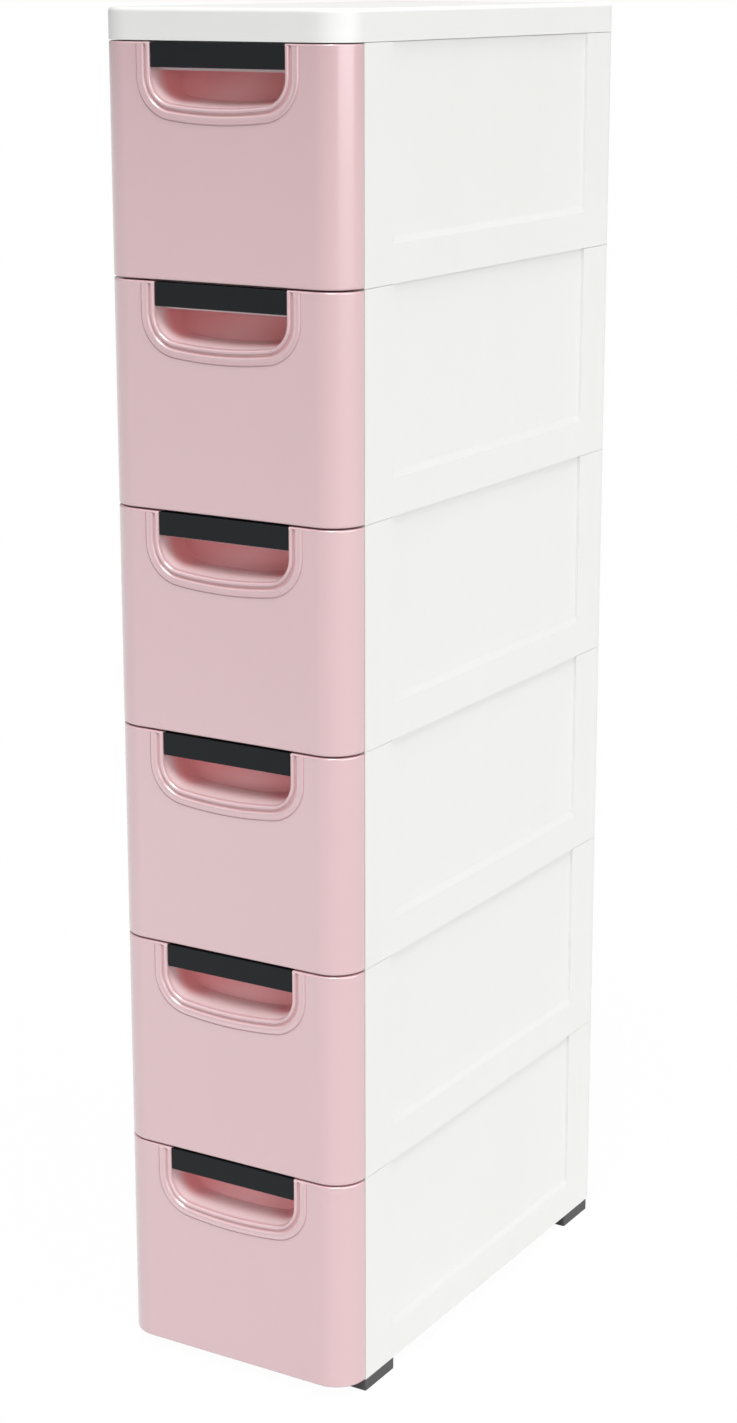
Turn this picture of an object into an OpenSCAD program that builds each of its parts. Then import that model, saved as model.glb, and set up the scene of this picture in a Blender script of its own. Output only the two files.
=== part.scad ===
// Plastic drawer tower: six moulded drawers in a stacked shell of side panels,
// back panels and level frames, on four short feet under one top cover.
// Millimetres. X is width, Y is depth with the drawer fronts at -Y, Z is up, and
// the origin is the middle of the footprint on the floor.
// Level 1 is the top drawer.

/* [Cabinet] */
// Overall width
body_w = 200; // [180:1:240]
// Overall depth, from the raised pocket rims to the back
body_d = 400; // [360:1:460]
// Height of one level, seam to seam
level_h = 161.5; // [140:0.5:190]
// Number of drawer levels
levels = 6; // [2:1:7]
// Radius of the upright front corners
corner_r = 24; // [12:1:24.5]
// Radius of the upright rear corners
rear_r = 9; // [7:0.5:12]
// Thickness of the outer walls of the shell
wall = 2.2; // [1.8:0.1:2.8]
// Visible gap between shell pieces at a seam
seam_gap = 0.3; // [0.2:0.1:1.2]
// Clearance around anything that plugs or slots together
fit_gap = 0.2; // [0.1:0.05:0.4]

/* [Top cover] */
// Height of the top cover
cover_h = 22; // [16:1:30]
// Radius along the upper edge of the top cover
cover_edge_r = 3; // [1:0.5:5]
// Thickness of the top plate
cover_top = 2.4; // [1.8:0.1:4]

/* [Side panels] */
// How deep the side field is set in
field_depth = 2; // [1:0.5:4]
// Height of the slope along the lower edge of the field
field_ledge = 4.5; // [2:0.5:8]
// Run of the short slopes along the upright edges of the field
field_slope = 1; // [0.5:0.25:3]
// Height of the flush band under the field
field_bottom = 27.5; // [20:0.5:40]
// Distance from the front edge of the panel to the field
field_front = 37; // [25:1:60]
// Distance from the back of the cabinet to the field
field_rear = 46; // [25:1:60]
// How far the panel's flanges reach inwards from its outer face
flange_reach = 11; // [10.5:0.25:12]
// Thickness of the panel's flanges and inner ribs
flange_t = 2; // [1.5:0.1:2.5]
// Number of upright ribs inside a panel
panel_ribs = 3; // [1:1:5]
// Width of the tabs that plug into the level frames
tab_w = 16; // [10:1:24]
// Thickness of the tabs
tab_t = 3; // [2:0.25:3.5]
// Length of the tabs beyond the flange
tab_l = 5.5; // [3:0.25:6]
// Distance of the tabs from the front edge of the panel and from the back
tab_inset = 34; // [24:1:60]

/* [Back panels] */
// Thickness of the back panels
back_t = 2; // [1.5:0.1:3]
// How far a side panel wraps onto the back
wrap_w = 18; // [15:0.5:24]
// Number of stiffening ribs on the inner face of a back panel
back_ribs = 3; // [1:1:5]
// Depth of those ribs
back_rib_h = 1.2; // [0.6:0.1:1.6]

/* [Level frames] */
// Height of a frame's running surface above its seam
frame_over = 8; // [7:0.5:12]
// How far a frame reaches below its seam
frame_under = 6; // [5:0.5:8]
// Thickness of the plate of a frame
frame_plate = 2.5; // [2:0.25:4]
// Thickness of the skirt and ribs under the plate
frame_rib = 2; // [1.5:0.1:3]
// Width of the solid rail on each side of the plate
rail_w = 30; // [24:1:36]
// Width of the bars across the front and back of the plate
bar_w = 18; // [12:1:30]
// Width of the slats between the windows of the plate
slat_w = 8; // [5:1:14]
// Rows of windows from front to back
window_rows = 4; // [3:1:6]
// Corner radius of the windows
window_r = 5; // [2:0.5:10]
// Width of the guide ridges beside the runners
ridge_w = 1.5; // [1:0.25:2.5]
// Height of the guide ridges
ridge_h = 2.2; // [1:0.1:2.4]
// Width of a stop lug
lug_w = 8; // [5:1:10]
// Thickness of a stop lug
lug_t = 5; // [3:0.5:8]

/* [Feet] */
// Height of the feet
foot_h = 9; // [6:0.5:16]
// Length of a foot along the side
foot_l = 41; // [30:1:60]
// Width of a foot across the cabinet
foot_w = 34; // [28:1:50]
// Corner radius of a foot
foot_r = 1; // [0.5:0.5:8]
// Diameter of the two pegs on a foot
peg_d = 8; // [5:0.5:10]
// Length of the pegs
peg_l = 5; // [3:0.5:7]

/* [Drawers] */
// Gap between two drawer fronts
front_gap = 1.2; // [1:0.1:3]
// Depth of a drawer front, from its face to its back edge
front_depth = 25; // [25:0.5:34]
// Thickness of a drawer front
front_wall = 2.2; // [1.8:0.1:2.8]
// Radius along the upper and lower edges of a drawer front
edge_r = 1.4; // [0.6:0.1:1.7]
// Gap between a drawer front and the side panels behind it
close_gap = 1; // [0.6:0.1:2.5]
// Thickness of the tub's walls and floor
tub_wall = 2; // [1.5:0.1:2.6]
// How much narrower each side of the tub is at its floor
tub_draft = 1.4; // [0.5:0.1:2]
// Radius of the tub's upright corners
tub_corner_r = 9; // [6:0.5:14]
// Radius along the edge of the tub's floor
tub_floor_r = 6; // [3.5:0.5:6]
// Gap between the tub and the flanges of the side panels
tub_side_gap = 3; // [2:0.25:5]
// Width and height of the lip around the top of the tub
tub_lip = 1.4; // [0.8:0.1:1.8]
// Gap between the top of the tub and the frame above it
tub_top_gap = 3; // [1.5:0.25:6]
// Gap between the tub and the groove ribs behind it
tub_rear_gap = 4; // [2:0.5:10]
// Height of the runners under the tub
runner_h = 3; // [2.6:0.1:5]
// Width of a runner
runner_w = 2; // [1.5:0.1:3]
// Running clearance under and beside a runner
run_gap = 0.3; // [0.2:0.05:0.6]
// How far a drawer opens before its stops meet
drawer_travel = 282; // [200:1:300]

/* [Pocket handle] */
// Width of the pocket's mouth
pocket_w = 109; // [80:1:120]
// Height of the pocket below the top of the drawer front
pocket_h = 43.5; // [38:0.5:60]
// Depth of the pocket
pocket_d = 21.5; // [16:0.5:21.5]
// Radius of the lower corners of the mouth
mouth_r = 19; // [14:0.5:22]
// Radius of the bow along the bottom of the mouth
mouth_bow_r = 300; // [180:5:600]
// How much the sides of the pocket lean in towards its back
pocket_lean = 4.5; // [2:0.5:7]
// Slope of the pocket's floor in degrees
floor_slope = 9; // [4:0.5:12]
// Radius between the pocket's floor, sides and back
scoop_r = 9; // [5:0.5:10]
// Thickness of the pocket's shell
pocket_wall = 1.8; // [1.4:0.1:2]
// Width of the bead around the mouth
bead_w = 3.4; // [2:0.1:4]
// How far the bead stands out from the front
bead_h = 1.2; // [0.6:0.1:1.4]
// Width of the groove between the bead and the outer band
groove_w = 1.6; // [0.8:0.1:2]
// Width of the outer band
band_w = 5.8; // [3:0.1:6]
// How far the band stands out from the front
band_h = 0.8; // [0.5:0.1:1]
// Width and height of the step along the edges of the bead and the band
rim_step = 0.4; // [0.2:0.1:0.4]
// Height of the dark grip strip across the top of the mouth
strip_h = 17; // [12:0.5:20]
// Gap around the grip strip
strip_gap = 0.4; // [0.2:0.1:0.8]
// Depth of the grip strip
strip_d = 8; // [6:0.5:9]
// Thickness of the grip strip's walls
strip_wall = 1.6; // [1.2:0.1:2]
// Thickness of the crossbar that carries the grip strip
crossbar_t = 2; // [1.5:0.1:2.5]
// How far the crossbar hangs below the grip strip
crossbar_drop = 2; // [1:0.25:3]
// Diameter of the grip strip's two pegs
strip_peg_d = 5; // [3:0.5:6]
// Distance of each peg from the middle
strip_peg_x = 34; // [20:1:40]

/* [Hidden] */
$fn = 64;
SHELL_WHITE = [0.94, 0.94, 0.92];
DRAWER_PINK = [0.86, 0.74, 0.75];
GRIP_BLACK = [0.14, 0.15, 0.16];
FOOT_GREY = [0.24, 0.23, 0.24];
LAP = 0.5; // how far fused shapes run into each other

// Outer planes of the cabinet
side_x = body_w / 2;
back_y = body_d / 2;
face_y = -body_d / 2 + bead_h;
body_h = foot_h + levels * level_h + cover_h;

// Seams, counted down from the top: level 1 hangs between seams 0 and 1
function seam_z(n) = foot_h + (levels - n) * level_h;

// Side panel planes
panel_y = face_y + front_depth + close_gap;
skin_x = side_x - wall;
flange_x = side_x - flange_reach;
panel_lo = seam_gap / 2;
panel_hi = level_h - seam_gap / 2;
sill_z = frame_over;
head_z = level_h - frame_under;
tab_ys = [panel_y + tab_inset, back_y - tab_inset];
frame_x = skin_x - field_depth - 2 * fit_gap;
tab_x = frame_x - 1.3 - tab_t / 2;
groove_y = back_y - wall;
groove_w_y = back_t + 2 * fit_gap;
groove_rib_y = groove_y - groove_w_y - flange_t;
groove_x = side_x - wrap_w;
groove_wall_x = skin_x - 5.5;

// Level frame planes
frame_y0 = panel_y + flange_t + seam_gap;
frame_y1 = back_y - wall - fit_gap * 2;

// Drawer planes, measured up from the seam under the drawer
front_lo = front_gap / 2;
front_hi = level_h - front_gap / 2;
front_h = front_hi - front_lo;
tub_x = flange_x - tub_side_gap;
tub_y0 = face_y + front_depth;
tub_y1 = groove_rib_y - tub_rear_gap;
tub_lo = frame_over + run_gap + runner_h;
tub_hi = level_h - frame_under - tub_top_gap;
runner_x = tub_x - tub_draft - tub_floor_r / 2 - runner_w / 2;
ridge_x = runner_x + runner_w / 2 + run_gap + ridge_w / 2;
lug_x = runner_x - runner_w / 2 - 2 - lug_w / 2;
catch_t = 4;
catch_y = tub_y1 - catch_t - 3;
lug_y = catch_y - drawer_travel - 1;
lug_h = runner_h + run_gap - 1.2;

// Pocket planes: the drawer's own z, and y measured back from the face
mouth_x = pocket_w / 2;
mouth_lo = front_hi - pocket_h;
ceiling_z = front_hi - front_wall;
rim_w = bead_w + groove_w + band_w;
strip_x = mouth_x - strip_gap;
strip_hi = front_hi - strip_gap;
strip_lo = front_hi - strip_h;
crossbar_y = face_y + strip_d;
spine_x = mouth_x + rim_w + 5;
hook_zs = [tub_lo + 24, tub_hi - 30];
hook_h = 10;
spine_t = 2;
barb = 1.6;
hook_y = tub_y0 + tub_wall + fit_gap;

LEVELS = [for (n = [1:levels]) n];

// ---------------------------------------------------------------- helpers

// The same thing on the right and on the left
module both_sides() {
    children();
    mirror([1, 0, 0]) children();
}

// A box between two corners
module block(lo, hi) {
    translate(lo) cube(hi - lo);
}

// A flat rectangle between two corners with rounded corners
module round_rect(lo, hi, r) {
    translate([lo.x + r, lo.y]) square([hi.x - lo.x - 2 * r, hi.y - lo.y]);
    translate([lo.x, lo.y + r]) square([hi.x - lo.x, hi.y - lo.y - 2 * r]);
    for (x = [lo.x + r, hi.x - r], y = [lo.y + r, hi.y - r])
        translate([x, y]) circle(r);
}

// The cabinet's outline seen from above, set in by a distance and cut off at y1
module cabinet_plan(inset, y1) {
    x = side_x - inset;
    y0 = face_y + inset;
    r = corner_r - inset;
    translate([-x + r, y0]) square([2 * (x - r), r]);
    translate([-x, y0 + r]) square([2 * x, y1 - y0 - r]);
    for (s = [-1, 1]) translate([s * (x - r), y0 + r]) intersection() {
        circle(r);
        translate([-r, -r]) square([2 * r, r + LAP]);
    }
}

// An upright wall's section, drawn inwards from x = 0, with both outer edges rounded
module wall_section(h, t, r_top, r_bottom) {
    translate([0, r_bottom]) square([t, h - r_top - r_bottom]);
    translate([r_bottom, 0]) square([t - r_bottom, r_bottom]);
    translate([r_bottom, r_bottom]) intersection() {
        circle(r_bottom);
        translate([-r_bottom, -r_bottom]) square([min(2 * r_bottom, t), r_bottom + LAP]);
    }
    if (t > r_top) translate([r_top, h - r_top]) square([t - r_top, r_top]);
    translate([r_top, h - r_top]) intersection() {
        circle(r_top);
        translate([-r_top, -LAP]) square([min(2 * r_top, t), r_top + LAP]);
    }
}

// Sweeps a section around the front of the cabinet: face, two corners and side returns
module sweep_front(y_end) {
    straight_x = side_x - corner_r;
    straight_y = face_y + corner_r;
    translate([-straight_x, face_y, 0]) rotate([90, 0, 90])
        linear_extrude(2 * straight_x) children();
    both_sides() {
        translate([straight_x, straight_y, 0]) rotate([0, 0, -90])
            rotate_extrude(angle = 90)
                translate([corner_r, 0]) mirror([1, 0]) children();
        translate([side_x, straight_y, 0]) rotate([90, 0, 180])
            linear_extrude(y_end - straight_y) children();
    }
}

// Sweeps the same section on around the back
module sweep_rear(y_start) {
    straight_x = side_x - rear_r;
    straight_y = back_y - rear_r;
    translate([straight_x, back_y, 0]) rotate([90, 0, -90])
        linear_extrude(2 * straight_x) children();
    both_sides() {
        translate([straight_x, straight_y, 0])
            rotate_extrude(angle = 90)
                translate([rear_r, 0]) mirror([1, 0]) children();
        translate([side_x, y_start, 0]) rotate([90, 0, 180])
            linear_extrude(straight_y - y_start) children();
    }
}

// Repeats something at the four places where panel tabs plug in
module at_tabs() {
    both_sides() for (y = tab_ys) translate([tab_x, y, 0]) children();
}

// The block around a tab's slot, and the slot itself, between two heights
module tab_blocks(z0, z1) {
    at_tabs() block([-tab_t / 2 - fit_gap - 1.7, -tab_w / 2 - 2, z0],
        [frame_x - tab_x, tab_w / 2 + 2, z1]);
}

module tab_slots(z0, z1) {
    at_tabs() block([-tab_t / 2 - fit_gap, -tab_w / 2 - fit_gap, z0],
        [tab_t / 2 + fit_gap, tab_w / 2 + fit_gap, z1]);
}

// ---------------------------------------------------------------- side panels

// The space of the side field, pushed inwards by a distance: it has a sloped ledge below and
// upright slopes at both ends, and runs up to the seam above
module field_space(push) {
    x_out = side_x - push + 1;
    x_in = side_x - push - field_depth;
    y0 = panel_y + field_front - push * field_slope / field_depth;
    y1 = back_y - field_rear + push * field_slope / field_depth;
    z0 = field_bottom - push * field_ledge / field_depth;
    reach = field_depth + 1;
    side_run = reach * field_slope / field_depth;
    ledge_run = reach * field_ledge / field_depth;
    intersection() {
        translate([0, y1 + reach, 0]) rotate([90, 0, 0])
            linear_extrude(y1 - y0 + 2 * reach)
                polygon([[x_out, z0 - ledge_run / reach], [x_in, z0 + ledge_run - ledge_run / reach],
                    [x_in, level_h], [x_out, level_h]]);
        translate([0, 0, z0 - reach * 2]) linear_extrude(level_h - z0 + reach * 4)
            polygon([[x_out, y0], [x_in, y0 + side_run], [x_in, y1 - side_run], [x_out, y1]]);
    }
}

// One panel, drawn on the right with its lower seam at z = 0
module side_panel() {
    h = panel_hi - panel_lo;
    inner_y1 = back_y - rear_r;
    difference() {
        union() {
            // outer skin, rear corner and the part that wraps onto the back
            block([skin_x, panel_y, panel_lo], [side_x, inner_y1, panel_hi]);
            translate([side_x - rear_r, inner_y1, panel_lo])
                rotate_extrude(angle = 90) translate([rear_r - wall, 0]) square([wall, h]);
            block([groove_x, groove_y, panel_lo], [side_x - rear_r, back_y, panel_hi]);
            // inner face of the set-in field
            intersection() {
                field_space(wall);
                block([flange_x, panel_y, panel_lo], [skin_x + LAP, inner_y1, panel_hi]);
            }
            // front flange, seen when a drawer is open
            block([flange_x, panel_y, panel_lo], [side_x, panel_y + flange_t, panel_hi]);
            // sill and head flanges, which the frames above and below carry
            for (z = [sill_z, head_z - flange_t])
                block([flange_x, panel_y, z], [skin_x + LAP, inner_y1, z + flange_t]);
            // upright ribs
            for (i = [1:panel_ribs])
                let (y = panel_y + (inner_y1 - panel_y) * i / (panel_ribs + 1))
                    block([flange_x + 1, y, sill_z], [skin_x + LAP, y + flange_t, head_z]);
            // groove that the back panel slides into
            block([groove_x, groove_rib_y, sill_z], [groove_wall_x + flange_t, groove_rib_y + flange_t, head_z]);
            block([groove_wall_x, groove_rib_y, sill_z], [groove_wall_x + flange_t, groove_y + LAP, head_z]);
            block([groove_wall_x, groove_rib_y, sill_z], [skin_x + LAP, groove_rib_y + flange_t, head_z]);
            // tabs that plug into the frames
            for (y = tab_ys) {
                block([tab_x - tab_t / 2, y - tab_w / 2, sill_z - tab_l],
                    [tab_x + tab_t / 2, y + tab_w / 2, sill_z + LAP]);
                block([tab_x - tab_t / 2, y - tab_w / 2, head_z - LAP],
                    [tab_x + tab_t / 2, y + tab_w / 2, head_z + tab_l]);
            }
        }
        field_space(0);
    }
}

module side_panel_right(n) {
    color(SHELL_WHITE) translate([0, 0, seam_z(n)]) side_panel();
}

module side_panel_left(n) {
    color(SHELL_WHITE) translate([0, 0, seam_z(n)]) mirror([1, 0, 0]) side_panel();
}

// ---------------------------------------------------------------- back panels

module back_panel(n) {
    x = groove_wall_x - fit_gap;
    y1 = groove_y - fit_gap;
    z0 = sill_z + fit_gap;
    z1 = head_z - fit_gap;
    color(SHELL_WHITE) translate([0, 0, seam_z(n)]) {
        block([-x, y1 - back_t, z0], [x, y1, z1]);
        // stiffening ribs, clear of the grooves
        for (i = [1:back_ribs])
            let (z = z0 + (z1 - z0) * i / (back_ribs + 1))
                block([-groove_x + 4, y1 - back_t - back_rib_h, z - flange_t / 2],
                    [groove_x - 4, y1 - back_t + LAP, z + flange_t / 2]);
    }
}

// ---------------------------------------------------------------- level frames

// Outline of a frame: between the panels, with a band that shows flush at the back
module frame_plan() {
    x = frame_x;
    round_rect([-x, frame_y0], [x, frame_y1], 4);
    translate([-groove_x + seam_gap, frame_y1 - 10])
        square([2 * (groove_x - seam_gap), back_y - frame_y1 + 10]);
}

// Windows through the plate, two across and some rows deep
module frame_windows() {
    x1 = frame_x - rail_w;
    y0 = frame_y0 + bar_w;
    y1 = frame_y1 - bar_w;
    row = (y1 - y0 + slat_w) / window_rows;
    for (i = [0:window_rows - 1], s = [0, 1])
        let (lo_x = s == 0 ? -x1 : slat_w / 2)
            round_rect([lo_x, y0 + i * row], [lo_x + x1 - slat_w / 2, y0 + (i + 1) * row - slat_w],
                window_r);
}

// Ribs under the slats and rails of the plate
module frame_rib_plan() {
    x1 = frame_x - rail_w;
    y0 = frame_y0 + bar_w;
    y1 = frame_y1 - bar_w;
    row = (y1 - y0 + slat_w) / window_rows;
    translate([-frame_rib / 2, frame_y0 + LAP]) square([frame_rib, frame_y1 - frame_y0 - 2 * LAP]);
    for (x = [-x1 - slat_w / 2, x1 + slat_w / 2])
        translate([x - frame_rib / 2, frame_y0 + LAP])
            square([frame_rib, frame_y1 - frame_y0 - 2 * LAP]);
    for (i = [0:window_rows])
        translate([-frame_x + LAP, y0 + i * row - slat_w / 2 - frame_rib / 2])
            square([2 * (frame_x - LAP), frame_rib]);
}

// A frame whose underside lies at z = lo and whose running surface is at frame_over
module level_frame(lo) {
    difference() {
        union() {
            // plate, skirt and ribs
            translate([0, 0, frame_over - frame_plate]) linear_extrude(frame_plate) difference() {
                frame_plan();
                frame_windows();
            }
            translate([0, 0, lo]) linear_extrude(frame_over - frame_plate - lo + LAP) {
                difference() {
                    frame_plan();
                    x = frame_x - frame_rib;
                    translate([-x, frame_y0 + frame_rib])
                        square([2 * x, frame_y1 - frame_y0 - 2 * frame_rib]);
                }
                frame_rib_plan();
            }
            // blocks that take the tabs of the side panels
            tab_blocks(lo, frame_over);
            // guide ridges outside the runners, and lugs that stop the drawer
            both_sides() {
                block([ridge_x - ridge_w / 2, frame_y0 + 4, frame_over - LAP],
                    [ridge_x + ridge_w / 2, groove_rib_y - 6, frame_over + ridge_h]);
                block([lug_x - lug_w / 2, lug_y - lug_t, frame_over - LAP],
                    [lug_x + lug_w / 2, lug_y, frame_over + lug_h]);
            }
        }
        tab_slots(lo - 1, frame_over + 1);
    }
}

module partition_frame(n) {
    color(SHELL_WHITE) translate([0, 0, seam_z(n)]) level_frame(-frame_under);
}

// The lowest frame ends at the seam and holds the pegs of the feet
module base_frame() {
    color(SHELL_WHITE) translate([0, 0, foot_h]) difference() {
        union() {
            level_frame(0);
            for (foot = FEET) at_pegs(foot)
                cylinder(h = frame_over - LAP, d = peg_d + 5);
        }
        for (foot = FEET) at_pegs(foot)
            translate([0, 0, -1]) cylinder(h = peg_l + 1 + fit_gap, d = peg_d + 2 * fit_gap);
    }
}

// ---------------------------------------------------------------- top cover

// Section of the skirt and its rounded shoulder
module cover_section(h) {
    t = max(wall, cover_edge_r) + LAP;
    difference() {
        wall_section(h, t, cover_edge_r, LAP / 2);
        translate([wall, -1]) square([t, h - cover_top + 1]);
    }
}

module top_cover() {
    skirt_lo = seam_gap / 2;
    top = cover_h;
    e = cover_edge_r;
    color(SHELL_WHITE) translate([0, 0, seam_z(0)]) {
        // skirt, swept around the outline
        translate([0, 0, skirt_lo]) {
            sweep_front(0) cover_section(top - skirt_lo);
            sweep_rear(-LAP) cover_section(top - skirt_lo);
        }
        // top plate
        translate([0, 0, top - cover_top]) linear_extrude(cover_top)
            intersection() {
                cabinet_plan(e, back_y - e);
                round_rect([e - side_x, face_y + e], [side_x - e, back_y - e], rear_r - e);
            }
        // ribs, and blocks that stand on the side panels and take their tabs
        difference() {
            union() {
                tab_blocks(-frame_under, top - LAP);
                translate([0, 0, top - cover_top - 8]) linear_extrude(8 + LAP) {
                    for (y = tab_ys) translate([-skin_x, y - frame_rib / 2])
                        square([2 * skin_x, frame_rib]);
                    for (x = [-side_x / 3, side_x / 3])
                        translate([x - frame_rib / 2, face_y + wall])
                            square([frame_rib, back_y - face_y - 2 * wall]);
                }
            }
            tab_slots(-frame_under - 1, tab_l - frame_under + fit_gap);
        }
    }
}

// ---------------------------------------------------------------- feet

// Each foot as [side, y of its front edge]
FEET = [[-1, panel_y], [1, panel_y], [-1, back_y - rear_r - foot_l], [1, back_y - rear_r - foot_l]];

module at_pegs(foot) {
    for (i = [1, 3])
        translate([foot[0] * (side_x - foot_w / 2 - 2), foot[1] + foot_l * i / 4, 0]) children();
}

module foot(i) {
    place = FEET[i];
    x0 = place[0] > 0 ? side_x - foot_w : -side_x;
    color(FOOT_GREY) {
        linear_extrude(foot_h)
            round_rect([x0, place[1]], [x0 + foot_w, place[1] + foot_l], foot_r);
        at_pegs(place) cylinder(h = foot_h + peg_l, d = peg_d);
    }
}

// ---------------------------------------------------------------- drawer tub

// A tub-shaped solid, set in by a distance on every side but the open top
module tub_form(inset, top) {
    x = tub_x - inset;
    y0 = tub_y0 + inset;
    y1 = tub_y1 - inset;
    r = tub_corner_r - inset;
    fr = tub_floor_r - inset;
    z0 = tub_lo + inset;
    hull() {
        translate([0, 0, top - 1]) linear_extrude(1)
            round_rect([-x, y0], [x, y1], r, $fn = 32);
        for (s = [-1, 1]) {
            for (end = [0, 1])
                let (yy = end == 0 ? y0 + r : y1 - tub_draft - r)
                    translate([s * (x - tub_draft - r), yy, z0 + fr])
                        rotate_extrude($fn = 32) translate([r - fr, 0]) intersection() {
                            circle(fr, $fn = 32);
                            translate([0, -fr]) square([fr, fr]);
                        }
        }
    }
}

module drawer_tub(n) {
    color(DRAWER_PINK) translate([0, 0, seam_z(n)]) difference() {
        union() {
            tub_form(0, tub_hi);
            // lip around the sides and back of the top
            translate([0, 0, tub_hi - 2 * tub_lip]) linear_extrude(2 * tub_lip)
                intersection() {
                    round_rect([-tub_x - tub_lip, tub_y0 - 20], [tub_x + tub_lip, tub_y1 + tub_lip],
                        tub_corner_r + tub_lip);
                    translate([-side_x, tub_y0 + tub_corner_r]) square([2 * side_x, body_d]);
                }
            both_sides() {
                // runner under the floor
                block([runner_x - runner_w / 2, tub_y0 + 4, tub_lo - runner_h],
                    [runner_x + runner_w / 2, tub_y1 - 4, tub_lo + tub_wall / 2]);
                // catch that meets the stop lug when the drawer is fully out
                block([lug_x - lug_w / 2, catch_y, frame_over + run_gap],
                    [lug_x + lug_w / 2, catch_y + catch_t, tub_lo + tub_wall / 2]);
            }
        }
        tub_form(tub_wall, tub_hi + 1);
        // slots for the hooks of the drawer front
        both_sides() for (z = hook_zs)
            block([spine_x - spine_t / 2 - fit_gap, tub_y0 - 1, z - hook_h / 2 - fit_gap],
                [spine_x + spine_t / 2 + barb, tub_y0 + tub_wall + 1, z + hook_h / 2 + fit_gap]);
    }
}

// ---------------------------------------------------------------- drawer front

// Centre height of the mouth's corner arcs, and where they meet the bow below
corner_x = mouth_x - mouth_r;
corner_z = mouth_lo + mouth_bow_r - sqrt(pow(mouth_bow_r - mouth_r, 2) - pow(corner_x, 2));
bow_angle = asin(corner_x / (mouth_bow_r - mouth_r));

// The U of the mouth, grown by a distance and running up to a height
module mouth_outline(grow, top) {
    meet_x = (mouth_bow_r + grow) * sin(bow_angle);
    r = mouth_r + grow;
    translate([-mouth_x - grow, corner_z]) square([2 * (mouth_x + grow), top - corner_z]);
    for (s = [-1, 1]) translate([s * corner_x, corner_z]) intersection() {
        circle(r);
        translate([-r, -r]) square([2 * r, r + LAP]);
    }
    intersection() {
        translate([0, mouth_lo + mouth_bow_r]) circle(mouth_bow_r + grow, $fn = 256);
        translate([-meet_x, mouth_lo - grow - 1])
            square([2 * meet_x, corner_z - mouth_lo + grow + 1 + LAP]);
    }
}

// The pocket seen from the side: y back from the face, z up, with a scooped corner
module pocket_side_section(grow, top) {
    r = scoop_r + grow;
    y1 = pocket_d + grow;
    slope = tan(floor_slope);
    floor_z = mouth_lo - grow / cos(floor_slope);
    cy = y1 - r;
    cz = floor_z + slope * cy + r / cos(floor_slope);
    translate([cy, cz]) circle(r);
    polygon([[-3, floor_z - 3 * slope], [cy + r * sin(floor_slope), cz - r * cos(floor_slope)],
        [cy, cz], [y1, cz], [y1, top], [-3, top]]);
}

// The pocket seen from above: leaning sides and rounded back corners
module pocket_plan(grow) {
    r = scoop_r + grow;
    lean = atan(pocket_lean / pocket_d);
    x0 = mouth_x + grow / cos(lean);
    y1 = pocket_d + grow;
    cy = y1 - r;
    cx = x0 - tan(lean) * cy - r / cos(lean);
    for (s = [-1, 1]) translate([s * cx, cy]) circle(r);
    polygon([
        [-x0 - 3 * tan(lean), -3], [x0 + 3 * tan(lean), -3],
        [cx + r * cos(lean), cy + r * sin(lean)], [cx, cy], [cx, y1],
        [-cx, y1], [-cx, cy], [-cx - r * cos(lean), cy + r * sin(lean)]
    ]);
}

// The pocket as three crossing profiles: mouth, side section and plan
module pocket_form(grow, top) {
    intersection() {
        translate([0, face_y + pocket_d + grow + 1, 0]) rotate([90, 0, 0])
            linear_extrude(pocket_d + grow + 6) mouth_outline(grow, top + 1);
        translate([-body_w / 2, face_y, 0]) rotate([90, 0, 90])
            linear_extrude(body_w) pocket_side_section(grow, top);
        translate([0, face_y, mouth_lo - grow - 5])
            linear_extrude(pocket_h + grow + 10) pocket_plan(grow);
    }
}

// A raised ring around the mouth between two distances from it, with its edges stepped back
module mouth_ring(from, to, h) {
    for (step = [rim_step, 0])
        translate([0, face_y + LAP, 0]) rotate([90, 0, 0])
            linear_extrude(LAP + h - step) difference() {
                mouth_outline(to + step - rim_step, front_hi - edge_r);
                mouth_outline(from + rim_step - step, front_hi);
            }
}

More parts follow.
